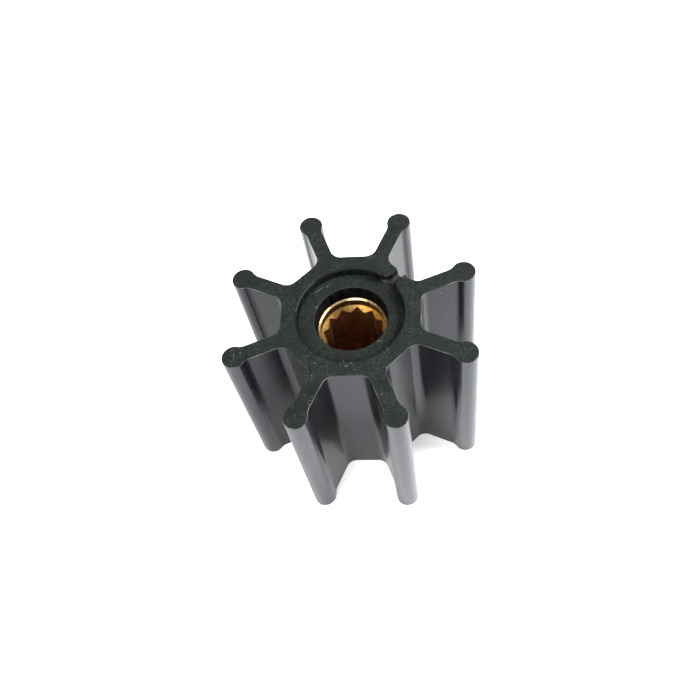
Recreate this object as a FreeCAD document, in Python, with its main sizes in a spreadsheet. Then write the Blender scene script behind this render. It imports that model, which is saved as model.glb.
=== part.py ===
# Flexible impeller of a sea-water pump: a rubber body with eight beaded blades,
# moulded round a splined bronze insert that slides on the pump's shaft.
#
# Frame: the shaft axis is Z, the lower end face lies on Z = 0, and one blade points along +X.
# Lengths are in millimetres and angles in degrees.

import FreeCAD, Part
import math
import os

import Sketcher

PARTS_FOLDER = "parts"

# Driving sizes, written into the spreadsheet as plain numbers
SIZES = [
    # rubber body, outer form
    ("outer_diameter", 65.0, "over the blade tips, free state"),
    ("body_length", 49.4, "between the two end faces"),
    ("blade_count", 8, "blades, evenly spaced"),
    ("blade_thickness", 3.95, "between the parallel sides of a blade"),
    ("bead_diameter", 5.9, "round bead along each blade tip"),
    ("bead_fillet", 3.0, "hollow radius between blade side and bead"),
    ("root_fillet", 2.85, "hollow radius between blade side and hub flat"),
    ("hub_across_flats", 34.05, "across the flats between the blades"),
    # rubber body, end recesses and bore
    ("recess_diameter", 25.8, "round recess in each end face"),
    ("recess_depth", 2.0, "depth of the recess in each end face"),
    ("insert_setback", 3.7, "from the recess floor down to the insert"),
    ("lip_clearance", 0.45, "from the insert's counterbore out to the rubber bore above it"),
    ("mouth_taper", 0.5, "the rubber bore widens by this, on the radius, up to the recess floor"),
    ("mouth_round", 0.3, "rounded edge where the rubber bore opens into a recess"),
    # moulding gate, left open in the upper face between two blades
    ("gate_width", 2.3, "channel from the recess to the hub flat"),
    ("gate_offset", 0.2, "channel centre, clockwise of the middle of the hub flat"),
    ("gate_flare", 2.5, "rounding where the channel opens into the recess"),
    # spline of the shaft, which sizes the insert and the rubber bore
    ("spline_count", 12, "grooves of the spline"),
    ("spline_major_diameter", 15.5, "across the bottoms of the grooves"),
    ("spline_depth", 0.75, "from the tops of the teeth to the bottoms of the grooves"),
    ("spline_groove_angle", 120.0, "included angle of a groove"),
    ("spline_phase", 3.8, "first groove, turned from the blade on +X"),
    # bronze insert
    ("pilot_clearance", 0.25, "from the groove bottoms out to the plain counterbore at each end"),
    ("pilot_depth", 2.5, "from the insert's end to the spline's lead-in"),
    ("pilot_chamfer", 0.4, "bright rim at the mouth of the counterbore"),
    ("lead_in_angle", 30.0, "lead-in cone, measured from the axis"),
    ("insert_wall", 2.0, "of the insert round its counterbores"),
    ("insert_chamfer", 0.5, "outer edges of the insert"),
    ("key_ring_depth", 0.8, "rings turned in the outside that the rubber fills"),
    ("key_ring_width", 3.0, "width of such a ring"),
    ("key_ring_spacing", 16.0, "between the centres of the two rings"),
]


def write_sheet(doc):
    """The spreadsheet that every feature reads."""
    sheet = doc.addObject("Spreadsheet::Sheet", "sizes")
    sheet.Label = "sizes"
    for row, (alias, value, meaning) in enumerate(SIZES, start=1):
        sheet.set("A%d" % row, alias)
        sheet.set("B%d" % row, str(value))
        sheet.set("C%d" % row, meaning)
        sheet.setAlias("B%d" % row, alias)
    doc.recompute()
    return sheet


class Section:
    """A sketch on one of a body's origin planes, with sizes bound to the sheet."""

    def __init__(self, body, sheet, name, plane_role):
        self.sheet = sheet
        self.sketch = body.newObject("Sketcher::SketchObject", name)
        plane = [f for f in body.Origin.OriginFeatures if f.Role == plane_role][0]
        self.sketch.AttachmentSupport = [(plane, "")]
        self.sketch.MapMode = "FlatFace"

    def place(self, height="0", turn="0"):
        """Lift the sketch along its normal and turn it about that normal."""
        offset_turn = FreeCAD.Rotation(FreeCAD.Vector(0, 0, 1), self.value(turn))
        offset_base = FreeCAD.Vector(0, 0, self.value(height))
        self.sketch.AttachmentOffset = FreeCAD.Placement(offset_base, offset_turn)
        self.sketch.setExpression("AttachmentOffset.Base.z", self.bound(height))
        self.sketch.setExpression("AttachmentOffset.Rotation.Angle", self.bound(turn))

    def bound(self, formula):
        """The formula with each size's name led by the sheet's name."""
        for alias, _, _ in SIZES:
            formula = formula.replace("<" + alias + ">", self.sheet.Name + "." + alias)
        return formula

    def value(self, formula):
        """What the formula gives now."""
        return float(self.sheet.evalExpression(self.bound(formula)))

    def line(self, start, end):
        return self.sketch.addGeometry(
            Part.LineSegment(FreeCAD.Vector(*start, 0), FreeCAD.Vector(*end, 0)), False)

    def arc(self, centre, start, end, construction=False):
        """The arc about centre that runs anticlockwise from start to end."""
        radius = math.dist(centre, start)
        first = math.atan2(start[1] - centre[1], start[0] - centre[0])
        last = math.atan2(end[1] - centre[1], end[0] - centre[0])
        circle = Part.Circle(FreeCAD.Vector(*centre, 0), FreeCAD.Vector(0, 0, 1), radius)
        return self.sketch.addGeometry(Part.ArcOfCircle(circle, first, last), construction)

    def circle(self, radius):
        """A construction circle about the origin."""
        shape = Part.Circle(FreeCAD.Vector(0, 0, 0), FreeCAD.Vector(0, 0, 1), radius)
        return self.sketch.addGeometry(shape, True)

    def rule(self, *terms):
        return self.sketch.addConstraint(Sketcher.Constraint(*terms))

    def size(self, name, formula, *terms):
        """A dimension that follows a formula of the sheet's sizes."""
        self.sketch.renameConstraint(self.rule(*terms, self.value(formula)), name)
        self.sketch.setExpression("Constraints." + name, self.bound(formula))

    def polygon(self, corners):
        """A closed outline whose corners are (name, formula, formula) in the sketch's axes."""
        points = [(self.value(across), self.value(up)) for _, across, up in corners]
        count = len(points)
        lines = [self.line(points[i], points[(i + 1) % count]) for i in range(count)]
        for i in range(count):
            self.rule("Coincident", lines[i - 1], 2, lines[i], 1)
        for edge, (name, across, up), (x, y) in zip(lines, corners, points):
            if x == 0:
                self.rule("PointOnObject", edge, 1, -2)
            else:
                self.size(name + "_across", across, "DistanceX", -1, 1, edge, 1)
            if y == 0:
                self.rule("PointOnObject", edge, 1, -1)
            else:
                self.size(name + "_up", up, "DistanceY", -1, 1, edge, 1)


def new_body(doc, label):
    body = doc.addObject("PartDesign::Body", label)
    body.Label = label
    body.Placement = FreeCAD.Placement()
    return body


def edges_at(feature, radius, height):
    """Names of the round edges about Z that have this radius and height."""
    names = []
    for number, edge in enumerate(feature.Shape.Edges, start=1):
        curve = edge.Curve
        if not isinstance(curve, Part.Circle):
            continue
        centre = curve.Center
        off_axis = math.hypot(centre.x, centre.y)
        misfit = max(off_axis, abs(curve.Radius - radius), abs(centre.z - height))
        if misfit < 1e-4:
            names.append("Edge%d" % number)
    return names


def require_cut(feature, before):
    """A cut has to take material away."""
    if not feature.Shape.Volume < before - 1e-3:
        raise RuntimeError(feature.Name + " cuts nothing")


# Heights shared by the rubber and the insert
INSERT_TOP = "(<body_length> - <recess_depth> - <insert_setback>)"
INSERT_BOTTOM = "(<recess_depth> + <insert_setback>)"

# Radii that follow the shaft's spline, from the inside out
TOOTH_RADIUS = "(<spline_major_diameter> / 2 - <spline_depth>)"
PILOT_RADIUS = "(<spline_major_diameter> / 2 + <pilot_clearance>)"
LIP_RADIUS = "(" + PILOT_RADIUS + " + <lip_clearance>)"
MOUTH_RADIUS = "(" + LIP_RADIUS + " + <mouth_taper>)"
INSERT_RADIUS = "(" + PILOT_RADIUS + " + <insert_wall>)"


def insert_outside():
    """Corners of the insert's outside from its top to its bottom, as (name, radius, height).

    The rubber is moulded against this outline, so both pieces are made from it.
    """
    ring = INSERT_RADIUS + " - <key_ring_depth>"
    corners = [
        ("top_chamfer", INSERT_RADIUS + " - <insert_chamfer>", INSERT_TOP),
        ("top_edge", INSERT_RADIUS, INSERT_TOP + " - <insert_chamfer>"),
    ]
    middle = "<body_length> / 2"
    for name, sign in (("upper", "+"), ("lower", "-")):
        centre = middle + " " + sign + " <key_ring_spacing> / 2"
        above = centre + " + <key_ring_width> / 2"
        below = centre + " - <key_ring_width> / 2"
        corners += [
            (name + "_ring_a", INSERT_RADIUS, above),
            (name + "_ring_b", ring, above),
            (name + "_ring_c", ring, below),
            (name + "_ring_d", INSERT_RADIUS, below),
        ]
    corners += [
        ("bottom_edge", INSERT_RADIUS, INSERT_BOTTOM + " + <insert_chamfer>"),
        ("bottom_chamfer", INSERT_RADIUS + " - <insert_chamfer>", INSERT_BOTTOM),
    ]
    return corners


def blade_sector(body, sheet):
    """Sketch of one blade with its share of the hub, between two half pitches."""
    section = Section(body, sheet, "blade_sector", "XY_Plane")
    half_pitch = math.radians(section.value("180 / <blade_count>"))
    flat = section.value("<hub_across_flats> / 2")
    half_blade = section.value("<blade_thickness> / 2")
    root = section.value("<root_fillet>")
    hollow = section.value("<bead_fillet>")
    bead = section.value("<bead_diameter> / 2")
    bead_x = section.value("<outer_diameter> / 2 - <bead_diameter> / 2")

    # Centres of the two hollow fillets on the +Y side of the blade
    side_y = half_blade + root
    root_x = (flat + root - side_y * math.sin(half_pitch)) / math.cos(half_pitch)
    hollow_y = half_blade + hollow
    hollow_x = bead_x - math.sqrt((bead + hollow) ** 2 - hollow_y ** 2)

    # Joints of the outline on the +Y side
    middle = (flat * math.cos(half_pitch), flat * math.sin(half_pitch))
    flat_end = (root_x - root * math.cos(half_pitch), side_y - root * math.sin(half_pitch))
    side_start = (root_x, half_blade)
    side_end = (hollow_x, half_blade)
    share = bead / (bead + hollow)
    bead_start = (bead_x + (hollow_x - bead_x) * share, hollow_y * share)

    def low(point):
        return (point[0], -point[1])

    spoke_low = section.line((0, 0), low(middle))
    flat_low = section.line(low(middle), low(flat_end))
    root_low = section.arc((root_x, -side_y), low(side_start), low(flat_end))
    side_low = section.line(low(side_start), low(side_end))
    hollow_low = section.arc((hollow_x, -hollow_y), low(bead_start), low(side_end))
    tip = section.arc((bead_x, 0), low(bead_start), bead_start)
    hollow_high = section.arc((hollow_x, hollow_y), side_end, bead_start)
    side_high = section.line(side_end, side_start)
    root_high = section.arc((root_x, side_y), flat_end, side_start)
    flat_high = section.line(flat_end, middle)
    spoke_high = section.line(middle, (0, 0))

    section.rule("Coincident", spoke_low, 1, -1, 1)
    section.rule("Coincident", spoke_high, 2, -1, 1)
    section.rule("Coincident", spoke_low, 2, flat_low, 1)
    section.rule("Coincident", flat_high, 2, spoke_high, 1)
    smooth_joints = [
        (flat_low, 2, root_low, 2),
        (root_low, 1, side_low, 1),
        (side_low, 2, hollow_low, 2),
        (hollow_low, 1, tip, 1),
        (tip, 2, hollow_high, 2),
        (hollow_high, 1, side_high, 1),
        (side_high, 2, root_high, 2),
        (root_high, 1, flat_high, 1),
    ]
    for joint in smooth_joints:
        section.rule("Tangent", *joint)
    section.rule("Perpendicular", spoke_low, flat_low)
    section.rule("Perpendicular", spoke_high, flat_high)
    section.rule("Horizontal", side_low)
    section.rule("Horizontal", side_high)
    section.rule("Equal", spoke_low, spoke_high)
    section.rule("Equal", root_low, root_high)
    section.rule("Equal", hollow_low, hollow_high)
    section.rule("PointOnObject", tip, 3, -1)
    section.rule("Symmetric", side_low, 1, side_high, 2, -1)
    section.size("sector", "360 deg / <blade_count>", "Angle", spoke_low, 1, spoke_high, 2)
    section.size("flat_distance", "<hub_across_flats> / 2", "Distance", spoke_low)
    section.size("thickness", "<blade_thickness>", "DistanceY", side_low, 1, side_high, 2)
    section.size("root_radius", "<root_fillet>", "Radius", root_low)
    section.size("hollow_radius", "<bead_fillet>", "Radius", hollow_low)
    section.size("bead_radius", "<bead_diameter> / 2", "Radius", tip)
    section.size("bead_place", "<outer_diameter> / 2 - <bead_diameter> / 2",
                 "DistanceX", -1, 1, tip, 3)
    return section.sketch


def gate_outline(body, sheet):
    """Sketch of the gate channel in the upper end face; its X axis crosses a hub flat squarely."""
    section = Section(body, sheet, "gate_outline", "XY_Plane")
    section.place("<body_length>", "180 / <blade_count>")
    recess = section.value("<recess_diameter> / 2")
    flare = section.value("<gate_flare>")
    high = section.value("<gate_width> / 2 - <gate_offset>")
    low = section.value("-<gate_width> / 2 - <gate_offset>")
    end_x = section.value("<outer_diameter> / 2")

    def flare_points(level, side):
        """Centre of a flare, its end on the recess and its end on the channel wall."""
        centre_y = level + side * flare
        centre_x = math.sqrt((recess + flare) ** 2 - centre_y ** 2)
        share = recess / (recess + flare)
        return (centre_x, centre_y), (centre_x * share, centre_y * share), (centre_x, level)

    high_centre, high_rim, high_wall = flare_points(high, 1)
    low_centre, low_rim, low_wall = flare_points(low, -1)
    rim = section.circle(recess)
    flare_high = section.arc(high_centre, high_rim, high_wall)
    wall_high = section.line(high_wall, (end_x, high))
    mouth = section.line((end_x, high), (end_x, low))
    wall_low = section.line((end_x, low), low_wall)
    flare_low = section.arc(low_centre, low_wall, low_rim)
    chord = section.line(low_rim, high_rim)

    section.rule("Coincident", rim, 3, -1, 1)
    section.rule("Tangent", flare_high, 2, wall_high, 1)
    section.rule("Tangent", wall_low, 2, flare_low, 1)
    section.rule("Tangent", flare_high, 1, rim)
    section.rule("Tangent", flare_low, 2, rim)
    section.rule("Coincident", wall_high, 2, mouth, 1)
    section.rule("Coincident", mouth, 2, wall_low, 1)
    section.rule("Coincident", flare_low, 2, chord, 1)
    section.rule("Coincident", chord, 2, flare_high, 1)
    section.rule("Horizontal", wall_high)
    section.rule("Horizontal", wall_low)
    section.rule("Vertical", mouth)
    section.rule("Equal", flare_high, flare_low)
    section.size("recess_radius", "<recess_diameter> / 2", "Radius", rim)
    section.size("flare_radius", "<gate_flare>", "Radius", flare_high)
    section.size("width", "<gate_width>", "DistanceY", mouth, 2, mouth, 1)
    section.size("wall_level", "<gate_width> / 2 - <gate_offset>", "DistanceY", -1, 1, mouth, 1)
    section.size("reach", "<outer_diameter> / 2", "DistanceX", -1, 1, mouth, 1)
    return section.sketch


def build_rubber_body(doc, sheet):
    body = new_body(doc, "rubber_body")

    # One sector padded, then patterned round the shaft axis
    sector = blade_sector(body, sheet)
    pad = body.newObject("PartDesign::Pad", "sector_pad")
    pad.Profile = sector
    pad.setExpression("Length", "sizes.body_length")
    sector.Visibility = False
    doc.recompute()
    ring = body.newObject("PartDesign::PolarPattern", "blade_ring")
    ring.Originals = [pad]
    ring.Axis = (sector, ["N_Axis"])
    ring.Angle = 360
    ring.setExpression("Occurrences", "sizes.blade_count")
    ring.Refine = True
    body.Tip = ring
    doc.recompute()

    # Recesses, rubber bore and the seat moulded round the insert
    volume = ring.Shape.Volume
    bore = Section(body, sheet, "bore_section", "XZ_Plane")
    recess = "<recess_diameter> / 2"
    recess_floor = "<body_length> - <recess_depth>"
    bore.polygon(
        [
            ("axis_top", "0", "<body_length>"),
            ("rim_top", recess, "<body_length>"),
            ("floor_top", recess, recess_floor),
            ("mouth_top", MOUTH_RADIUS, recess_floor),
            ("lip_top", LIP_RADIUS, INSERT_TOP),
        ]
        + insert_outside()
        + [
            ("lip_bottom", LIP_RADIUS, INSERT_BOTTOM),
            ("mouth_bottom", MOUTH_RADIUS, "<recess_depth>"),
            ("floor_bottom", recess, "<recess_depth>"),
            ("rim_bottom", recess, "0"),
            ("axis_bottom", "0", "0"),
        ]
    )
    groove = body.newObject("PartDesign::Groove", "bore_groove")
    groove.Profile = bore.sketch
    groove.ReferenceAxis = (bore.sketch, ["V_Axis"])
    groove.Angle = 360
    doc.recompute()
    require_cut(groove, volume)

    # Rounded edges where the rubber bore opens into the recesses
    mouth_radius = bore.value(MOUTH_RADIUS)
    mouth_heights = (bore.value("<recess_depth>"), bore.value(recess_floor))
    mouth_edges = [name for z in mouth_heights for name in edges_at(groove, mouth_radius, z)]
    rounding = body.newObject("PartDesign::Fillet", "mouth_rounding")
    rounding.Base = (groove, mouth_edges)
    rounding.setExpression("Radius", "sizes.mouth_round")
    doc.recompute()

    # Gate channel, as deep as the recess
    volume = rounding.Shape.Volume
    gate = body.newObject("PartDesign::Pocket", "gate_channel")
    gate.Profile = gate_outline(body, sheet)
    gate.setExpression("Length", "sizes.recess_depth")
    doc.recompute()
    require_cut(gate, volume)
    body.Tip = gate
    return body


def build_insert(doc, sheet):
    body = new_body(doc, "spline_insert")

    # Turned blank: outside, counterbores, lead-in cones and the bore across the teeth
    blank = Section(body, sheet, "insert_section", "XZ_Plane")
    cone_length = "(<spline_depth> + <pilot_clearance>) / tan(<lead_in_angle> * 1 deg)"
    blank.polygon(
        [
            ("tooth_top", TOOTH_RADIUS, INSERT_TOP + " - <pilot_depth> - " + cone_length),
            ("cone_top", PILOT_RADIUS, INSERT_TOP + " - <pilot_depth>"),
            ("pilot_top", PILOT_RADIUS, INSERT_TOP + " - <pilot_chamfer>"),
            ("rim_top", PILOT_RADIUS + " + <pilot_chamfer>", INSERT_TOP),
        ]
        + insert_outside()
        + [
            ("rim_bottom", PILOT_RADIUS + " + <pilot_chamfer>", INSERT_BOTTOM),
            ("pilot_bottom", PILOT_RADIUS, INSERT_BOTTOM + " + <pilot_chamfer>"),
            ("cone_bottom", PILOT_RADIUS, INSERT_BOTTOM + " + <pilot_depth>"),
            ("tooth_bottom", TOOTH_RADIUS, INSERT_BOTTOM + " + <pilot_depth> + " + cone_length),
        ]
    )
    turned = body.newObject("PartDesign::Revolution", "turned_blank")
    turned.Profile = blank.sketch
    turned.ReferenceAxis = (blank.sketch, ["V_Axis"])
    turned.Angle = 360
    doc.recompute()

    # One V groove of the spline, cut from end to end, then patterned
    volume = turned.Shape.Volume
    tooth_space = Section(body, sheet, "spline_groove", "XY_Plane")
    tooth_space.place("0", "<spline_phase>")
    base = TOOTH_RADIUS + " * cos(180 deg / <spline_count>)"
    half_width = "(<spline_major_diameter> / 2 - " + base + ") * tan(<spline_groove_angle> * 0.5 deg)"
    tooth_space.polygon(
        [
            ("root", "<spline_major_diameter> / 2", "0"),
            ("base_high", base, half_width),
            ("base_low", base, "-1 * " + half_width),
        ]
    )
    cut = body.newObject("PartDesign::Pocket", "spline_space")
    cut.Profile = tooth_space.sketch
    cut.Reversed = True
    cut.setExpression("Length", "sizes.body_length")
    doc.recompute()
    require_cut(cut, volume)
    spline = body.newObject("PartDesign::PolarPattern", "spline")
    spline.Originals = [cut]
    spline.Axis = (tooth_space.sketch, ["N_Axis"])
    spline.Angle = 360
    spline.setExpression("Occurrences", "sizes.spline_count")
    body.Tip = spline
    doc.recompute()
    return body


def check_model(doc, bodies):
    """Stop before anything is written if a feature failed or a piece isn't one sound solid."""
    for item in doc.Objects:
        if "Invalid" in item.State or "Error" in item.State:
            raise RuntimeError("failed feature: " + item.Label)
    for body in bodies:
        shape = body.Shape
        if shape.isNull() or not shape.isValid() or len(shape.Solids) != 1:
            raise RuntimeError("unsound piece: " + body.Label)


def main():
    doc = FreeCAD.newDocument("pump_impeller")
    sheet = write_sheet(doc)
    bodies = [build_rubber_body(doc, sheet), build_insert(doc, sheet)]
    doc.recompute()
    check_model(doc, bodies)
    os.makedirs(PARTS_FOLDER, exist_ok=True)
    for body in bodies:
        body.Shape.exportStep(os.path.join(PARTS_FOLDER, body.Label + ".step"))
        box = body.Shape.BoundBox
        print("%s: %.0f mm3, Z %.2f to %.2f" % (body.Label, body.Shape.Volume, box.ZMin, box.ZMax))


main()
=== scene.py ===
"""Looks of a flexible pump impeller: a moulded rubber body round a splined bronze insert.

Lengths are in millimetres and angles in degrees, and a mesh is scaled to metres when it is made.
The frame gives the pieces' heights, and the other sizes are those of the modelled parts.
"""

import math

import bmesh
import bpy
from mathutils import Matrix, Vector


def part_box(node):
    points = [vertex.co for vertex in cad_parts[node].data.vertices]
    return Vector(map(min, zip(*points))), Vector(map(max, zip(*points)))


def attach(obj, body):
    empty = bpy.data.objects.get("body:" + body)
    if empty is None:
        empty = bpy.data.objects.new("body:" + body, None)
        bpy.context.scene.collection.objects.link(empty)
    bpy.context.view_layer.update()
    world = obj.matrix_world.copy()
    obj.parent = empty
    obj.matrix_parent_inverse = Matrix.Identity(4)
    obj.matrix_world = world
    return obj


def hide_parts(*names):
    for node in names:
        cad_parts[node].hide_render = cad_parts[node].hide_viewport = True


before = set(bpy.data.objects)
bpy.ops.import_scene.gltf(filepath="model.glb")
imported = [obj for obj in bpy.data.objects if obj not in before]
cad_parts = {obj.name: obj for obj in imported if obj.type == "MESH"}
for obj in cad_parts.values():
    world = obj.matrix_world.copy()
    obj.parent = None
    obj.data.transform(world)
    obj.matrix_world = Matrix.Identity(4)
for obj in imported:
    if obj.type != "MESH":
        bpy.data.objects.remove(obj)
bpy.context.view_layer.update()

MM = 0.001

# Heights from the frame
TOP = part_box("rubber_body")[1].z / MM
INSERT_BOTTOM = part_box("spline_insert")[0].z / MM
INSERT_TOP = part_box("spline_insert")[1].z / MM

# Rubber body
TIP_RADIUS = 32.5
BLADE_COUNT = 8
BLADE_THICKNESS = 3.95
BEAD_RADIUS = 2.95
BEAD_FILLET = 3.0
ROOT_FILLET = 2.85
HUB_FLAT = 17.025
RECESS_RADIUS = 12.9
RECESS_DEPTH = 2.0
RECESS_FLOOR = TOP - RECESS_DEPTH
MOUTH_RADIUS = 8.95
MOUTH_ROUND = 0.3
LIP_RADIUS = 8.45
PITCH = 360.0 / BLADE_COUNT

# Angles this close count as the same, and a step this small leaves a stop behind
ANGLE_SLACK = 1e-6
PAST_STOP = 1e-3

# Roundings of the rubber's edges, too fine for the modelled solid
OUTLINE_ROUND = 0.18
RIM_ROUND = 0.3
FLOOR_FILLET = 0.3
WIDEST_ROUND = max(OUTLINE_ROUND, RIM_ROUND, FLOOR_FILLET)
RUBBER_SEGMENTS = 4

# Steps of the rubber's round stretches; a ring about the shaft has its step in degrees
ROOT_STEPS = 14
BEAD_FILLET_STEPS = 12
BEAD_STEPS = 30
FLARE_STEPS = 8
MOUTH_STEPS = 6
RING_STEP = 2.0

# Gate channel in the upper face; across is measured from the middle of the hub flat
GATE_TURN = PITCH / 2
GATE_HIGH = 0.95
GATE_LOW = -1.35
GATE_FLARE = 2.5

# Bronze insert
INSERT_RADIUS = 10.0
INSERT_CHAMFER = 0.5
KEY_RING_DEPTH = 0.8
KEY_RING_WIDTH = 3.0
KEY_RING_SPACING = 16.0
PILOT_RADIUS = 8.0
PILOT_DEPTH = 2.5
PILOT_CHAMFER = 0.4
LEAD_IN_ANGLE = 30.0
SPLINE_COUNT = 12
SPLINE_MAJOR = 7.75
SPLINE_MINOR = 7.0
GROOVE_HALF_ANGLE = 60.0
SPLINE_PHASE = 3.8
FLANK_STEPS = 6
FLANK_SEARCH_STEP = 0.01

# The rubber's mesh stays this far off the insert's, so that no faces coincide
BOND_GAP = 0.01

# Roundings of the insert's edges that turn by more than the sharp angle
INSERT_ROUND = 0.05
INSERT_SEGMENTS = 2
INSERT_SHARP = 20.0


# Points and outlines

def polar(radius, angle, centre=(0.0, 0.0)):
    turn = math.radians(angle)
    return (centre[0] + radius * math.cos(turn), centre[1] + radius * math.sin(turn))


def arc(centre, radius, start, end, steps):
    """Points of an arc, both ends included."""
    return [polar(radius, start + (end - start) * i / steps, centre) for i in range(steps + 1)]


def turned(point, angle):
    c, s = math.cos(math.radians(angle)), math.sin(math.radians(angle))
    return (point[0] * c - point[1] * s, point[0] * s + point[1] * c)


def blade_side():
    """The +Y side of the blade on +X, from the hub flat out to the tip."""
    half = BLADE_THICKNESS / 2
    spread = math.radians(PITCH / 2)
    root_y = half + ROOT_FILLET
    root_x = (HUB_FLAT + ROOT_FILLET - root_y * math.sin(spread)) / math.cos(spread)
    bead_x = TIP_RADIUS - BEAD_RADIUS
    hollow_y = half + BEAD_FILLET
    hollow_x = bead_x - math.sqrt((BEAD_RADIUS + BEAD_FILLET) ** 2 - hollow_y ** 2)
    lean = math.degrees(math.atan2(hollow_y, bead_x - hollow_x))
    points = arc((root_x, root_y), ROOT_FILLET, 180 + PITCH / 2, 270, ROOT_STEPS)
    points += arc((hollow_x, hollow_y), BEAD_FILLET, 270, 360 - lean, BEAD_FILLET_STEPS)
    points += arc((bead_x, 0), BEAD_RADIUS, 180 - lean, 0, BEAD_STEPS)[1:]
    return points


def blade_outline(angle):
    """One blade, anticlockwise from hub flat to hub flat."""
    side = blade_side()
    lower = [(x, -y) for x, y in side]
    return [turned(p, angle) for p in lower + side[-2::-1]]


def gate_point(outward, across):
    return turned((outward, across), GATE_TURN)


def gate_wall(level):
    """One wall of the gate channel, from the hub flat in to the recess."""
    side = math.copysign(1, level)
    centre_across = level + side * GATE_FLARE
    reach = RECESS_RADIUS + GATE_FLARE
    centre_outward = math.sqrt(reach ** 2 - centre_across ** 2)
    to_rim = 180 + math.degrees(math.atan2(centre_across, centre_outward))
    flare = arc((centre_outward, centre_across), GATE_FLARE, -90 * side % 360, to_rim % 360,
                FLARE_STEPS)
    return [gate_point(*p) for p in flare]


def rim_angle(point):
    return math.degrees(math.atan2(point[1], point[0])) % 360


# Mesh helpers

def new_loop(bm, points, height):
    return [bm.verts.new((x, y, height)) for x, y in points]


def skin(bm, lower, upper, closed=True):
    """Quads between two loops of equal length."""
    count = len(lower)
    for i in range(count if closed else count - 1):
        j = (i + 1) % count
        bm.faces.new((lower[i], lower[j], upper[j], upper[i]))


def new_object(name, bm):
    bmesh.ops.recalc_face_normals(bm, faces=bm.faces)
    bm.transform(Matrix.Scale(MM, 4))
    mesh = bpy.data.meshes.new(name)
    bm.to_mesh(mesh)
    bm.free()
    mesh.polygons.foreach_set("use_smooth", [True] * len(mesh.polygons))
    obj = bpy.data.objects.new(name, mesh)
    bpy.context.scene.collection.objects.link(obj)
    return obj


def round_edges(obj, width, segments, sharp=None):
    """Round the edges that turn by more than the sharp angle, or else the weighted ones."""
    rounding = obj.modifiers.new("rounding", "BEVEL")
    if sharp is None:
        rounding.limit_method = "WEIGHT"
    else:
        rounding.limit_method = "ANGLE"
        rounding.angle_limit = math.radians(sharp)
    rounding.width = width * MM
    rounding.segments = segments
    rounding.use_clamp_overlap = sharp is not None
    rounding.harden_normals = True
    graph = bpy.context.evaluated_depsgraph_get()
    rounded = bpy.data.meshes.new_from_object(obj.evaluated_get(graph))
    obj.modifiers.clear()
    obj.data = rounded
    rounded.name = obj.name


# Rubber body

def insert_outline():
    """The insert's outside as (radius, height), from its top to its bottom."""
    points = [
        (INSERT_RADIUS - INSERT_CHAMFER, INSERT_TOP),
        (INSERT_RADIUS, INSERT_TOP - INSERT_CHAMFER),
    ]
    middle = (INSERT_TOP + INSERT_BOTTOM) / 2
    for centre in (middle + KEY_RING_SPACING / 2, middle - KEY_RING_SPACING / 2):
        points += [
            (INSERT_RADIUS, centre + KEY_RING_WIDTH / 2),
            (INSERT_RADIUS - KEY_RING_DEPTH, centre + KEY_RING_WIDTH / 2),
            (INSERT_RADIUS - KEY_RING_DEPTH, centre - KEY_RING_WIDTH / 2),
            (INSERT_RADIUS, centre - KEY_RING_WIDTH / 2),
        ]
    points += [
        (INSERT_RADIUS, INSERT_BOTTOM + INSERT_CHAMFER),
        (INSERT_RADIUS - INSERT_CHAMFER, INSERT_BOTTOM),
    ]
    return points


def bore_profile():
    """The rubber bore as (radius, height), from the upper recess floor to the lower one."""
    centre = MOUTH_RADIUS + MOUTH_ROUND
    mouth = arc((centre, 0), MOUTH_ROUND, 90, 180, MOUTH_STEPS)
    upper = [(r, RECESS_FLOOR - MOUTH_ROUND + h) for r, h in mouth]
    lower = [(r, RECESS_DEPTH + MOUTH_ROUND - h) for r, h in mouth]
    seat = [(r + BOND_GAP, z) for r, z in insert_outline()]
    return (upper + [(LIP_RADIUS, INSERT_TOP + BOND_GAP)] + seat
            + [(LIP_RADIUS, INSERT_BOTTOM - BOND_GAP)] + lower[::-1])


def spread(stops, step):
    """Angles from the first stop to the last, through every stop, about a step apart."""
    angles = [stops[0]]
    for a, b in zip(stops, stops[1:]):
        count = max(1, round((b - a) / step))
        angles += [a + (b - a) * i / count for i in range(1, count + 1)]
    return angles


def between(ring, angles, low, high):
    """The ring's vertices from one angle up to another; the ring goes round once."""
    return [v for v, a in zip(ring, angles) if low - ANGLE_SLACK <= a <= high + ANGLE_SLACK]


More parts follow.
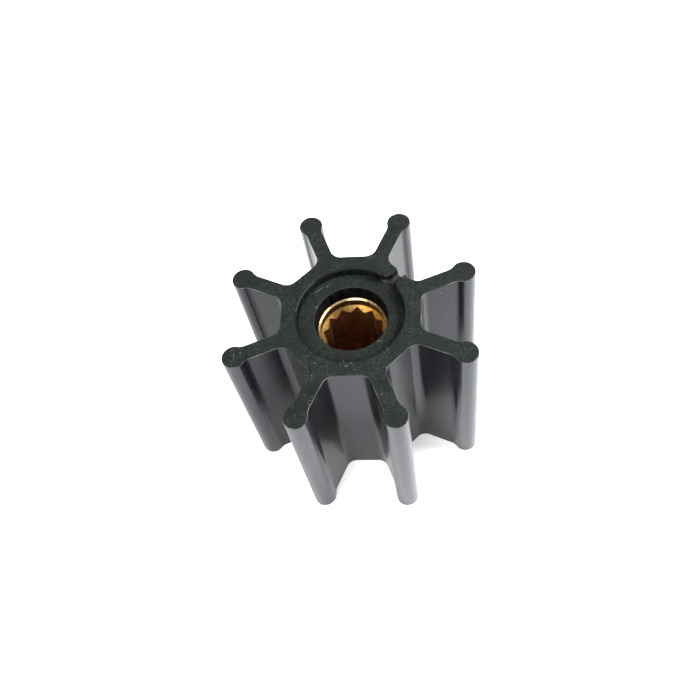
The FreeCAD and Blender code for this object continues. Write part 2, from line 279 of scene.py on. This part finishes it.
class Moulding:
    """Mesh of the rubber body: loops of vertices with the faces between them."""

    def __init__(self):
        self.bm = bmesh.new()
        self.weights = self.bm.edges.layers.float.new("bevel_weight_edge")
        self.make_outside()
        self.make_recess()
        self.make_bore()
        self.make_end_faces()
        self.weigh_roundings()

    def make_outside(self):
        """Walls from one side of the gate channel round all the blades to its other side."""
        corners = [gate_point(HUB_FLAT, GATE_HIGH), gate_point(HUB_FLAT, GATE_LOW)]
        outline, valleys = corners[:1], []
        for k in range(1, BLADE_COUNT + 1):
            outline += blade_outline(k * PITCH)
            if k < BLADE_COUNT:
                valleys.append(len(outline))
                outline.append(polar(HUB_FLAT, (k + 0.5) * PITCH))
        outline.append(corners[1])
        self.stops = [0] + valleys + [len(outline) - 1]

        top = self.outer_top = new_loop(self.bm, outline, TOP)
        bottom = self.outer_bottom = new_loop(self.bm, outline, 0)
        foot = self.bm.verts.new((*polar(HUB_FLAT, GATE_TURN), 0))
        high, low = new_loop(self.bm, corners, RECESS_FLOOR)
        self.gate_foot, self.corner_high, self.corner_low = foot, high, low
        skin(self.bm, bottom[1:-1], top[1:-1], closed=False)
        self.bm.faces.new((bottom[0], high, top[0], top[1], bottom[1]))
        self.bm.faces.new((bottom[-1], low, top[-1], top[-2], bottom[-2]))
        self.bm.faces.new((bottom[-1], low, high, bottom[0], foot))

    def ring(self, radius, height, angles):
        return new_loop(self.bm, [polar(radius, a) for a in angles], height)

    def make_recess(self):
        """Wall of the upper recess, with the walls and the floor of the gate channel."""
        wall_high, wall_low = gate_wall(GATE_HIGH), gate_wall(GATE_LOW)
        start, end = rim_angle(wall_high[-1]), rim_angle(wall_low[-1]) + 360
        middles = [(k + 0.5) * PITCH for k in range(1, BLADE_COUNT)]
        self.bounds = [start] + middles + [end]

        # Angles shared by every ring: along the recess wall, then across the channel
        self.wall_angles = spread(self.bounds, RING_STEP)
        mouth_angles = spread([end, GATE_TURN + 360, start + 360], RING_STEP)
        self.angles = self.wall_angles + mouth_angles[1:-1]
        count = len(self.wall_angles)

        self.rim_top = self.ring(RECESS_RADIUS, TOP, self.wall_angles)
        floor = self.rim_floor = self.ring(RECESS_RADIUS, RECESS_FLOOR, self.angles)
        skin(self.bm, floor[:count], self.rim_top, closed=False)
        self.high_top = ([self.outer_top[0]] + new_loop(self.bm, wall_high[:-1], TOP)
                         + [self.rim_top[0]])
        high_floor = ([self.corner_high] + new_loop(self.bm, wall_high[:-1], RECESS_FLOOR)
                      + [floor[0]])
        self.low_top = ([self.outer_top[-1]] + new_loop(self.bm, wall_low[:-1], TOP)
                        + [self.rim_top[-1]])
        low_floor = ([self.corner_low] + new_loop(self.bm, wall_low[:-1], RECESS_FLOOR)
                     + [floor[count - 1]])
        skin(self.bm, high_floor, self.high_top, closed=False)
        skin(self.bm, low_floor, self.low_top, closed=False)
        self.bm.faces.new([self.corner_high] + low_floor + floor[count:] + [floor[0]]
                          + high_floor[-2:0:-1])

    def make_bore(self):
        """From the upper recess's floor down through the bore to the lower recess's rim."""
        last = self.rim_floor
        lower_recess = [(RECESS_RADIUS, RECESS_DEPTH), (RECESS_RADIUS, 0)]
        for radius, height in bore_profile() + lower_recess:
            level = self.ring(radius, height, self.angles)
            skin(self.bm, level, last)
            last = level
        self.rim_bottom = last

    def make_end_faces(self):
        """Both end faces, in one sector for each blade."""
        start, end = self.bounds[0], self.bounds[-1]
        for k in range(BLADE_COUNT):
            sector = slice(self.stops[k], self.stops[k + 1] + 1)
            low, high = self.bounds[k], self.bounds[k + 1]
            rim = between(self.rim_top, self.wall_angles, low, high)[::-1]
            if k == 0:
                rim += self.high_top[-2:0:-1]
            if k == BLADE_COUNT - 1:
                rim = self.low_top[1:-1] + rim
            self.bm.faces.new(self.outer_top[sector] + rim)

            rim = between(self.rim_bottom, self.angles, low, high)[::-1]
            outside = self.outer_bottom[sector]
            if k == 0:
                rim += between(self.rim_bottom, self.angles, GATE_TURN + 360, start + 360)[::-1]
                outside = [self.gate_foot] + outside
            if k == BLADE_COUNT - 1:
                mouth = between(self.rim_bottom, self.angles, end + PAST_STOP, GATE_TURN + 360)
                rim = mouth[::-1] + rim
                outside = outside + [self.gate_foot]
            self.bm.faces.new(outside + rim)

    def weigh(self, loop, rounding, closed=False):
        """Give the edges along a loop their rounding, as a share of the widest one."""
        for a, b in zip(loop, loop[1:] + loop[:1] if closed else loop[1:]):
            self.bm.edges.get((a, b))[self.weights] = rounding / WIDEST_ROUND

    def weigh_roundings(self):
        top = self.outer_top
        self.weigh(top, OUTLINE_ROUND)
        self.weigh(self.outer_bottom + [self.gate_foot], OUTLINE_ROUND, closed=True)
        self.weigh(self.rim_top, RIM_ROUND)
        self.weigh(self.rim_bottom, RIM_ROUND, closed=True)
        self.weigh(self.rim_floor[:len(self.wall_angles)], FLOOR_FILLET)
        for path in (self.high_top, self.low_top, [self.corner_high, top[0]],
                     [self.corner_low, top[-1]], [self.corner_high, self.corner_low]):
            self.weigh(path, RIM_ROUND)


def make_rubber_body():
    body = new_object("rubber_moulding", Moulding().bm)
    round_edges(body, WIDEST_ROUND, RUBBER_SEGMENTS)
    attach(body, "root")
    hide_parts("rubber_body")
    return body


# Bronze insert

def groove_radius(turn):
    """Radius of the spline at an angle from the middle of a groove."""
    turn = math.radians(abs(turn))
    slope = math.tan(math.radians(GROOVE_HALF_ANGLE))
    return max(SPLINE_MINOR, SPLINE_MAJOR / (math.cos(turn) + math.sin(turn) / slope))


def groove_turns():
    """Angles of a groove's points from its middle, from one tooth's middle to the next."""
    half_pitch = 180.0 / SPLINE_COUNT
    edge = half_pitch
    while groove_radius(edge) <= SPLINE_MINOR:
        edge -= FLANK_SEARCH_STEP
    flank = [edge * i / FLANK_STEPS for i in range(1, FLANK_STEPS + 1)]
    return [-half_pitch] + [-t for t in reversed(flank)] + [0.0] + flank


def make_insert():
    bm = bmesh.new()
    columns = []
    for k in range(SPLINE_COUNT):
        middle = SPLINE_PHASE + k * 360.0 / SPLINE_COUNT
        columns += [(middle + t, groove_radius(t)) for t in groove_turns()]

    def level(radii, heights):
        return [bm.verts.new((*polar(r, a), z)) for (a, _), r, z in zip(columns, radii, heights)]

    def flat_level(radius, height):
        return level([radius] * len(columns), [height] * len(columns))

    spline = [r for _, r in columns]
    cone = math.tan(math.radians(LEAD_IN_ANGLE))
    drops = [PILOT_DEPTH + (PILOT_RADIUS - r) / cone for r in spline]
    levels = [flat_level(r, z) for r, z in reversed(insert_outline())]
    levels.append(flat_level(PILOT_RADIUS + PILOT_CHAMFER, INSERT_TOP))
    levels.append(flat_level(PILOT_RADIUS, INSERT_TOP - PILOT_CHAMFER))
    levels.append(flat_level(PILOT_RADIUS, INSERT_TOP - PILOT_DEPTH))
    levels.append(level(spline, [INSERT_TOP - d for d in drops]))
    levels.append(level(spline, [INSERT_BOTTOM + d for d in drops]))
    levels.append(flat_level(PILOT_RADIUS, INSERT_BOTTOM + PILOT_DEPTH))
    levels.append(flat_level(PILOT_RADIUS, INSERT_BOTTOM + PILOT_CHAMFER))
    levels.append(flat_level(PILOT_RADIUS + PILOT_CHAMFER, INSERT_BOTTOM))
    for lower, upper in zip(levels, levels[1:] + levels[:1]):
        skin(bm, lower, upper)

    insert = new_object("bronze_insert", bm)
    round_edges(insert, INSERT_ROUND, INSERT_SEGMENTS, INSERT_SHARP)
    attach(insert, "root")
    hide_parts("spline_insert")
    return insert


# Materials

# Colours of the rubber's walls, end faces and rounded edges
WALL_TINT = (0.82, 0.91, 1.0)
WALL_DARK = (0.0008, 0.0008, 0.0014)
WALL_LIGHT = (0.0065, 0.0065, 0.0085)
# Pale grain colour: partly bloom, partly painted highlight grain, strongest on the beads
WALL_BLOOM_AND_HIGHLIGHT = (0.0620, 0.0640, 0.0680)
FACE_TINT = (0.95, 1.0, 0.93)
FACE_DARK = (0.0010, 0.0022, 0.0014)
FACE_LIGHT = (0.0200, 0.0245, 0.0210)
FACE_MOTTLE = (0.0040, 0.0050, 0.0052)
EDGE_DARK = (0.004, 0.005, 0.005)
# Painted highlight: the pale colour of the rounded outline edges
EDGE_PAINTED_HIGHLIGHT = (0.100, 0.105, 0.105)

# Painted shade: a dark ring just outside the recess, standing for the shade along the rounded
# rim: colour, radius, and the distances between which it fades
PAINTED_RIM_SHADE_COLOUR = (0.0005, 0.0006, 0.0006)
PAINTED_RIM_SHADE_RADIUS = RECESS_RADIUS + 0.35
PAINTED_RIM_SHADE_FADE = (0.05, 0.30)

# Specular level and tint, smoothest and roughest wall, and share of pale bloom, which on the
# beads is partly a painted highlight grain
RUBBER_FINISHES = {
    "end_face": (0.20, FACE_TINT, 0.25, 0.32, 0.10),
    "bead": (0.40, WALL_TINT, 0.22, 0.28, 0.30),
    "blade_side": (0.22, WALL_TINT, 0.22, 0.27, 0.06),
    "bore": (0.02, WALL_TINT, 0.50, 0.60, 0.0),
}

# Light and dark colour, smoothest and roughest, and strength of the brown stains
# Painted light and shade: one bronze coloured brighter on the lead-in as if lit, darker and
# redder on the spline and darker on the turned rim as if shaded
BRONZE_LIT_AND_SHADED_FINISHES = {
    "turned": ((0.64, 0.46, 0.25), (0.50, 0.35, 0.17), 0.25, 0.36, 0.8),
    "lead_in": ((0.93, 0.69, 0.28), (0.85, 0.59, 0.21), 0.30, 0.40, 0.3),
    "spline": ((0.80, 0.50, 0.31), (0.70, 0.39, 0.21), 0.26, 0.38, 0.0),
}
BRONZE_STAIN = (0.16, 0.09, 0.035)

# Where the finishes start: radii, and slopes, which are 1 on a face that lies across the shaft
BEAD_START = 28.0
HUB_EDGE_START = HUB_FLAT - 0.5
BLADE_SIDE_START = RECESS_RADIUS - 0.5
ROUNDED_SLOPES = (0.1, 0.95)
END_FACE_SLOPE = 0.5
TURNED_START = PILOT_RADIUS - 0.01
LEAD_IN_SLOPE = 0.2


class Shader:
    """Short calls that add nodes to a material and join them."""

    def __init__(self, name):
        self.material = bpy.data.materials.new(name)
        self.material.use_nodes = True
        self.tree = self.material.node_tree
        self.surface = self.tree.nodes["Principled BSDF"]

    def node(self, kind, **settings):
        node = self.tree.nodes.new(kind)
        for key, value in settings.items():
            setattr(node, key, value)
        return node

    def feed(self, socket, value):
        """Join an output to a socket, or set the socket to a plain value."""
        if isinstance(value, bpy.types.NodeSocket):
            self.tree.links.new(value, socket)
        else:
            socket.default_value = value

    def place(self):
        """Position on the object, in millimetres."""
        coordinates = self.node("ShaderNodeTexCoord")
        scale = self.node("ShaderNodeVectorMath", operation="SCALE")
        self.feed(scale.inputs[0], coordinates.outputs["Object"])
        self.feed(scale.inputs["Scale"], 1 / MM)
        return scale.outputs[0]

    def radius(self, place):
        """Distance from the shaft's axis, in millimetres."""
        length = self.node("ShaderNodeVectorMath", operation="LENGTH")
        self.feed(length.inputs[0], self.stretch(place, (1.0, 1.0, 0.0)))
        return length.outputs["Value"]

    def stretch(self, place, factors):
        multiply = self.node("ShaderNodeVectorMath", operation="MULTIPLY")
        self.feed(multiply.inputs[0], place)
        self.feed(multiply.inputs[1], factors)
        return multiply.outputs[0]

    def noise(self, place, scale, detail=3.0, roughness=0.55):
        texture = self.node("ShaderNodeTexNoise")
        self.feed(texture.inputs["Vector"], place)
        self.feed(texture.inputs["Scale"], scale)
        self.feed(texture.inputs["Detail"], detail)
        self.feed(texture.inputs["Roughness"], roughness)
        return texture.outputs["Fac"]

    def remap(self, value, low, high, to_low, to_high, smooth=False):
        remap = self.node("ShaderNodeMapRange")
        remap.interpolation_type = "SMOOTHSTEP" if smooth else "LINEAR"
        for socket, number in zip(list(remap.inputs)[:5], (value, low, high, to_low, to_high)):
            self.feed(socket, number)
        return remap.outputs[0]

    def math(self, operation, a, b=0.0):
        node = self.node("ShaderNodeMath", operation=operation)
        self.feed(node.inputs[0], a)
        self.feed(node.inputs[1], b)
        return node.outputs[0]

    def mix(self, factor, first, second):
        mix = self.node("ShaderNodeMix", data_type="RGBA")
        self.feed(mix.inputs["Factor"], factor)
        for socket, value in ((mix.inputs[6], first), (mix.inputs[7], second)):
            self.feed(socket, value if isinstance(value, bpy.types.NodeSocket) else (*value, 1.0))
        return mix.outputs[2]

    def bump(self, height, strength, distance, under=None):
        bump = self.node("ShaderNodeBump")
        self.feed(bump.inputs["Height"], height)
        self.feed(bump.inputs["Strength"], strength)
        self.feed(bump.inputs["Distance"], distance * MM)
        if under is not None:
            self.feed(bump.inputs["Normal"], under)
        return bump.outputs[0]


def face_up_share(shader):
    """1 on the end faces and the recess floors, 0 on the walls."""
    geometry = shader.node("ShaderNodeNewGeometry")
    split = shader.node("ShaderNodeSeparateXYZ")
    shader.feed(split.inputs[0], geometry.outputs["Normal"])
    return shader.remap(shader.math("ABSOLUTE", split.outputs["Z"]), 0.55, 0.9, 0, 1, smooth=True)


def wall_colour(shader, streak, grain, bloom_and_highlight):
    """Near black in upright streaks, with pale grain that is partly bloom and partly painted
    highlight grain.
    """
    colour = shader.mix(shader.remap(streak, 0.35, 0.65, 0, 1), WALL_DARK, WALL_LIGHT)
    # Pale grain: partly bloom, partly painted highlight grain
    return shader.mix(shader.remap(grain, 0.50, 0.62, 0, bloom_and_highlight), colour, WALL_BLOOM_AND_HIGHLIGHT)


def face_colour(shader, place, speckle):
    """Grey green and speckled, mottled darker, with a ring of painted shade round the recess."""
    colour = shader.mix(shader.remap(speckle, 0.42, 0.60, 0, 1), FACE_DARK, FACE_LIGHT)
    mottle = shader.noise(place, 0.22, 4)
    colour = shader.mix(shader.remap(mottle, 0.38, 0.62, 0, 0.6), colour, FACE_MOTTLE)
    # Painted shade: the end face is darkened in a ring along the recess's rim
    from_ring = shader.math("SUBTRACT", shader.radius(place), PAINTED_RIM_SHADE_RADIUS)
    off_painted_shade = shader.remap(shader.math("ABSOLUTE", from_ring), *PAINTED_RIM_SHADE_FADE, 0, 1)
    return shader.mix(off_painted_shade, PAINTED_RIM_SHADE_COLOUR, colour)


def rubber_material(name, specular, tint, smoothest, roughest, bloom_and_highlight):
    """Moulded rubber: matt, grained end faces, and walls with the gloss asked and the pale bloom
    asked, which is partly painted highlight grain.
    """
    shader = Shader(name)
    place = shader.place()
    flat = face_up_share(shader)
    grain = shader.noise(place, 4.0, 4, 0.65)
    speckle = shader.noise(place, 2.2, 6, 0.7)
    streak = shader.noise(shader.stretch(place, (1.0, 1.0, 0.03)), 0.9, 3)
    wave = shader.noise(shader.stretch(place, (1.0, 1.0, 0.3)), 0.12, 2)

    colour = shader.mix(flat, wall_colour(shader, streak, grain, bloom_and_highlight),
                        face_colour(shader, place, speckle))
    shader.feed(shader.surface.inputs["Base Color"], colour)

    roughness = shader.node("ShaderNodeMix", data_type="FLOAT")
    shader.feed(roughness.inputs["Factor"], flat)
    shader.feed(roughness.inputs[2], shader.remap(streak, 0.3, 0.7, smoothest, roughest))
    shader.feed(roughness.inputs[3], shader.remap(speckle, 0.3, 0.7, 0.60, 0.78))
    shader.feed(shader.surface.inputs["Roughness"], roughness.outputs[0])

    relief = shader.bump(wave, 0.03, 0.8)
    relief = shader.bump(streak, 0.006, 0.08, relief)
    relief = shader.bump(grain, shader.remap(flat, 0, 1, 0.1, 0.6), 0.08, relief)
    shader.feed(shader.surface.inputs["Normal"], relief)
    shader.surface.inputs["IOR"].default_value = 1.5
    shader.surface.inputs["Specular IOR Level"].default_value = specular
    shader.surface.inputs["Specular Tint"].default_value = (*tint, 1)
    return shader.material


def edge_material():
    """Rounded outline edges, with a painted highlight in pale patches where the rounding would
    catch light.
    """
    shader = Shader("rubber_edge")
    # Painted highlight: pale patches along the rounded edges
    painted_highlight = shader.remap(shader.noise(shader.place(), 0.35, 4, 0.7), 0.44, 0.66, 0, 1)
    shader.feed(shader.surface.inputs["Base Color"], shader.mix(painted_highlight, EDGE_DARK, EDGE_PAINTED_HIGHLIGHT))
    shader.surface.inputs["Roughness"].default_value = 0.45
    return shader.material


def give_finishes(obj, finishes, pick):
    """Put the finishes on the object; pick names a face's finish by its radius and slope."""
    obj.data.materials.clear()
    for material in finishes.values():
        obj.data.materials.append(material)
    order = list(finishes)
    for face in obj.data.polygons:
        radius = math.hypot(face.center.x, face.center.y) / MM
        face.material_index = order.index(pick(radius, abs(face.normal.z)))


def rubber_finish(radius, slope):
    rounded = ROUNDED_SLOPES[0] < slope < ROUNDED_SLOPES[1]
    on_rim = abs(radius - RECESS_RADIUS - RIM_ROUND / 2) < RIM_ROUND
    if rounded and on_rim:
        return "bore"
    if rounded and radius > HUB_EDGE_START:
        return "edge"
    if slope > END_FACE_SLOPE:
        return "end_face"
    if radius > BEAD_START:
        return "bead"
    if radius > BLADE_SIDE_START:
        return "blade_side"
    return "bore"


def dress_rubber(body):
    """End faces, beads, blade sides, bore and edges each get their own finish."""
    finishes = {name: rubber_material("rubber_" + name, *settings)
                for name, settings in RUBBER_FINISHES.items()}
    finishes["edge"] = edge_material()
    give_finishes(body, finishes, rubber_finish)


def plain_material(name, colour, roughness):
    shader = Shader(name)
    shader.surface.inputs["Base Color"].default_value = (*colour, 1)
    shader.surface.inputs["Roughness"].default_value = roughness
    return shader.material


def bronze_material(name, light, dark, smoothest, roughest, stained):
    """Turned bronze with tarnish between two colours, and brown stains as strong as asked."""
    shader = Shader(name)
    place = shader.place()
    tarnish = shader.noise(place, 0.5, 4)
    stain = shader.noise(place, 1.3, 4, 0.6)
    rings = shader.noise(shader.stretch(place, (0.15, 0.15, 9.0)), 1.0, 2)
    scratches = shader.noise(shader.stretch(place, (7.0, 7.0, 0.25)), 1.0, 3)
    colour = shader.mix(shader.remap(tarnish, 0.35, 0.65, 0, 1), light, dark)
    colour = shader.mix(shader.remap(stain, 0.44, 0.60, 0, stained), colour, BRONZE_STAIN)
    shader.feed(shader.surface.inputs["Base Color"], colour)
    shader.feed(shader.surface.inputs["Roughness"],
                shader.remap(scratches, 0.3, 0.7, smoothest, roughest))
    relief = shader.bump(rings, 0.15, 0.03)
    relief = shader.bump(scratches, 0.15, 0.03, relief)
    shader.feed(shader.surface.inputs["Normal"], relief)
    shader.surface.inputs["Metallic"].default_value = 1.0
    return shader.material


def insert_finish(radius, slope):
    if radius > TURNED_START:
        return "turned"
    return "lead_in" if slope > LEAD_IN_SLOPE else "spline"


def dress_insert(insert):
    """Turned rim and counterbore, the lead-in painted brighter as if lit, and the broached spline
    painted darker as if shaded.
    """
    finishes = {name: bronze_material("bronze_" + name, *settings)
                for name, settings in BRONZE_LIT_AND_SHADED_FINISHES.items()}
    give_finishes(insert, finishes, insert_finish)


# Floor, light and camera

# The floor glows softly, but not under the hub, where it would light the bore from below
FLOOR_SIZE = 1600.0
FLOOR_COLOUR = (0.85, 0.86, 0.88)
FLOOR_GLOW = 0.46
GLOW_EDGE = (HUB_FLAT - 2, HUB_FLAT - 1)

# Strength of the surroundings at the horizon and overhead, and the height where they stop fading
HORIZON_LIGHT = 1.2
OVERHEAD_LIGHT = 0.3
OVERHEAD_FROM = 0.9

# Azimuth, with 0 along +X, elevation, distance, size and power in watts
SOFTBOXES = {
    "right": (-12, 40, 900.0, 500.0, 20.0),
    "front_left": (-130, 35, 900.0, 500.0, 8.5),
}


def make_floor():
    bm = bmesh.new()
    bmesh.ops.create_grid(bm, x_segments=1, y_segments=1, size=FLOOR_SIZE / 2)
    floor = new_object("floor", bm)
    shader = Shader("pale_floor")
    glow = shader.remap(shader.radius(shader.place()), *GLOW_EDGE, 0, FLOOR_GLOW)
    shader.surface.inputs["Base Color"].default_value = (*FLOOR_COLOUR, 1)
    shader.surface.inputs["Roughness"].default_value = 0.6
    shader.surface.inputs["Emission Color"].default_value = (1.0, 1.0, 1.0, 1)
    shader.feed(shader.surface.inputs["Emission Strength"], glow)
    floor.data.materials.append(shader.material)


def make_surroundings():
    """Soft white studio: bright at the horizon, dimmer overhead."""
    world = bpy.data.worlds.new("studio")
    bpy.context.scene.world = world
    world.use_nodes = True
    nodes, links = world.node_tree.nodes, world.node_tree.links
    coordinates = nodes.new("ShaderNodeTexCoord")
    split = nodes.new("ShaderNodeSeparateXYZ")
    fade = nodes.new("ShaderNodeMapRange")
    fade.inputs["From Min"].default_value = 0.0
    fade.inputs["From Max"].default_value = OVERHEAD_FROM
    fade.inputs["To Min"].default_value = HORIZON_LIGHT
    fade.inputs["To Max"].default_value = OVERHEAD_LIGHT
    links.new(coordinates.outputs["Generated"], split.inputs[0])
    links.new(split.outputs["Z"], fade.inputs["Value"])
    links.new(fade.outputs[0], nodes["Background"].inputs["Strength"])
    nodes["Background"].inputs["Color"].default_value = (1.0, 1.0, 1.0, 1)


def make_softbox(name, azimuth, elevation, distance, size, power):
    """A square soft light aimed at the middle of the part."""
    data = bpy.data.lights.new(name, "AREA")
    data.shape = "SQUARE"
    data.size = size * MM
    data.energy = power
    light = bpy.data.objects.new(name, data)
    flat, height = math.cos(math.radians(elevation)), math.sin(math.radians(elevation))
    direction = Vector((*polar(flat, azimuth), height))
    light.location = (direction * distance + Vector((0, 0, TOP / 2))) * MM
    light.rotation_euler = (-direction).to_track_quat("-Z", "Y").to_euler()
    bpy.context.scene.collection.objects.link(light)


# The photograph's camera: its place and axes in the part's frame, and its lens in pixels
CAMERA_PLACE = (-19.00, -107.38, TOP + 163.35)
CAMERA_RIGHT = (0.93267, -0.34185, -0.11516)
CAMERA_DOWN = (-0.35132, -0.78841, -0.50496)
CAMERA_FORWARD = (0.08183, 0.51142, -0.85543)
IMAGE_SIZE = 700
FOCAL_PIXELS = 818.93
PRINCIPAL_POINT = (350.72, 350.57)

# The rendering camera's sensor, and the range of distances that it shows
SENSOR_WIDTH = 36.0
NEAREST_SHOWN = 5.0
FARTHEST_SHOWN = 10000.0


def make_camera():
    data = bpy.data.cameras.new("camera")
    data.sensor_width = SENSOR_WIDTH
    data.lens = FOCAL_PIXELS * SENSOR_WIDTH / IMAGE_SIZE
    data.shift_x = (IMAGE_SIZE / 2 - PRINCIPAL_POINT[0]) / IMAGE_SIZE
    data.shift_y = (PRINCIPAL_POINT[1] - IMAGE_SIZE / 2) / IMAGE_SIZE
    data.clip_start = NEAREST_SHOWN * MM
    data.clip_end = FARTHEST_SHOWN * MM
    camera = bpy.data.objects.new("camera", data)
    axes = Matrix((CAMERA_RIGHT, [-c for c in CAMERA_DOWN], [-c for c in CAMERA_FORWARD]))
    place = Matrix.Translation(Vector(CAMERA_PLACE) * MM)
    camera.matrix_world = place @ axes.transposed().to_4x4()
    bpy.context.scene.collection.objects.link(camera)
    bpy.context.scene.camera = camera


# Dust, and smears that are partly painted highlights, at the pixels where the photograph shows
# them; and a painted highlight line round the recess

# Across, down, diameter; all in pixels
SPECKS = (
    (441.0, 293.0, 1.5), (456.0, 321.0, 1.2), (388.2, 428.2, 2.6), (288.0, 420.0, 1.2),
    (298.0, 433.0, 1.2), (309.0, 465.0, 1.1), (315.0, 363.0, 1.4), (316.0, 399.0, 1.2),
    (311.5, 375.5, 1.2), (312.0, 378.5, 1.0), (307.0, 375.0, 1.0), (263.0, 355.0, 1.0),
    (403.0, 459.0, 1.2), (346.0, 366.0, 1.4), (351.0, 363.0, 1.3), (305.0, 375.0, 0.9),
    (387.0, 368.0, 1.3), (366.0, 377.0, 1.0), (381.0, 394.0, 1.1), (388.0, 349.0, 1.3),
    (240.0, 353.0, 1.2), (312.0, 397.0, 0.9), (310.0, 400.5, 0.9), (308.5, 404.0, 0.9),
    (343.5, 361.5, 1.0), (348.0, 365.5, 1.1), (345.0, 363.5, 0.8), (386.5, 347.5, 1.0),
    (388.0, 352.0, 0.9), (386.0, 366.5, 0.9), (389.0, 370.0, 0.9), (404.0, 275.0, 1.1),
    (406.5, 277.0, 1.0), (408.0, 279.0, 0.9), (403.5, 278.0, 0.9), (272.0, 381.0, 0.8),
    (395.0, 445.0, 0.9), (398.0, 432.0, 0.9), (384.0, 410.0, 0.8), (301.0, 450.0, 0.8),
    (293.0, 407.0, 0.9), (295.0, 415.0, 0.8), (400.0, 470.0, 0.8), (322.0, 401.0, 0.8),
    (389.5, 459.5, 1.3), (309.5, 438.5, 1.2), (312.5, 446.5, 1.1), (307.5, 433.5, 1.1),
    (321.0, 471.0, 1.1), (412.5, 450.0, 1.0), (395.5, 390.5, 1.1), (377.5, 395.5, 1.0),
)

# Smears, partly painted highlights: start, end and width; all in pixels
SMEARS_AND_HIGHLIGHTS = (
    (315.0, 293.0, 323.0, 287.3, 1.6), (326.2, 288.0, 328.6, 284.4, 1.3),
    (316.2, 309.5, 317.2, 305.2, 1.5), (376.0, 341.3, 383.0, 340.8, 1.0),
    (233.3, 358.0, 233.9, 353.2, 0.9),
)

# A speck's width here, as a share of its diameter in the photograph; it is half as high
SPECK_SHARE = 0.52
# Height of the smear and painted highlight shells
SMEAR_AND_HIGHLIGHT_HEIGHT = 0.06

# Painted highlight: a light line just outside the recess, as short grey shells standing for the
# rounded rim's highlight: from, to and step in degrees
RIM_LINE = (112, 154, 2)
RIM_LINE_RADIUS = RECESS_RADIUS + 0.42
RIM_LINE_SHELL = (0.9, 0.14, SMEAR_AND_HIGHLIGHT_HEIGHT)

# Colour and roughness of the two materials: pale dust, and a grey that is partly smear and partly
# painted highlight
DUST, SMEAR_AND_HIGHLIGHT = range(2)
DIRT_AND_HIGHLIGHT_FINISHES = (
    ("pale_dust", (0.42, 0.43, 0.42), 0.8),
    ("grey_smear_and_highlight", (0.045, 0.050, 0.052), 0.5),
)


def seen_at(body, across, down):
    """Point and normal of the body under a pixel of the photograph."""
    place = Vector(CAMERA_PLACE) * MM
    ray = (Vector(CAMERA_FORWARD)
           + Vector(CAMERA_RIGHT) * (across - PRINCIPAL_POINT[0]) / FOCAL_PIXELS
           + Vector(CAMERA_DOWN) * (down - PRINCIPAL_POINT[1]) / FOCAL_PIXELS)
    hit, point, normal, _ = body.ray_cast(place, ray.normalized())
    return (point / MM, normal) if hit else None


def pixel_size(point):
    return (point - Vector(CAMERA_PLACE)).dot(Vector(CAMERA_FORWARD)) / FOCAL_PIXELS


def lay_shell(bm, middle, normal, along, size, finish):
    """A small closed grain, half sunk in the surface; size is its length, width and height."""
    shell = bmesh.ops.create_icosphere(bm, subdivisions=2, radius=0.5)["verts"]
    side = normal.cross(along).normalized()
    axes = Matrix((along.normalized() * size[0], side * size[1], normal * size[2]))
    matrix = Matrix.Translation(middle) @ axes.transposed().to_4x4()
    bmesh.ops.transform(bm, matrix=matrix, verts=shell)
    for face in {f for v in shell for f in v.link_faces}:
        face.material_index = finish


def lay_specks(bm, body):
    for across, down, diameter in SPECKS:
        found = seen_at(body, across, down)
        if found:
            point, normal = found
            size = SPECK_SHARE * diameter * pixel_size(point)
            lay_shell(bm, point, normal, normal.orthogonal(), (size, size, size / 2), DUST)


def lay_smears_and_highlights(bm, body):
    # Grey shells, partly smears and partly painted highlights on glossy streaks
    for x0, y0, x1, y1, width in SMEARS_AND_HIGHLIGHTS:
        start, end = seen_at(body, x0, y0), seen_at(body, x1, y1)
        middle = seen_at(body, (x0 + x1) / 2, (y0 + y1) / 2)
        if start and end and middle:
            along = end[0] - start[0]
            size = (along.length, width * pixel_size(middle[0]), SMEAR_AND_HIGHLIGHT_HEIGHT)
            lay_shell(bm, *middle, along, size, SMEAR_AND_HIGHLIGHT)


def lay_painted_rim_highlight(bm):
    # Painted highlight along the recess rim, in the grey smear and highlight material
    for angle in range(*RIM_LINE):
        point = Vector((*polar(RIM_LINE_RADIUS, angle), TOP))
        along = Vector((*polar(1, angle + 90), 0))
        lay_shell(bm, point, Vector((0, 0, 1)), along, RIM_LINE_SHELL, SMEAR_AND_HIGHLIGHT)


def add_dirt_and_highlights(body):
    """Join the photographed dust, the smears, which are partly painted highlights, and the
    painted highlight line round the recess to the moulding.
    """
    bm = bmesh.new()
    lay_specks(bm, body)
    lay_smears_and_highlights(bm, body)
    lay_painted_rim_highlight(bm)
    dirt_and_highlights = new_object("dirt_and_highlights", bm)
    for finish in DIRT_AND_HIGHLIGHT_FINISHES:
        dirt_and_highlights.data.materials.append(plain_material(*finish))
    with bpy.context.temp_override(active_object=body, object=body,
                                   selected_editable_objects=[body, dirt_and_highlights]):
        bpy.ops.object.join()


rubber = make_rubber_body()
dress_rubber(rubber)
add_dirt_and_highlights(rubber)
insert = make_insert()
dress_insert(insert)
make_floor()
make_surroundings()
for name, settings in SOFTBOXES.items():
    make_softbox(name, *settings)
make_camera()
bpy.context.scene.view_settings.view_transform = "Standard"
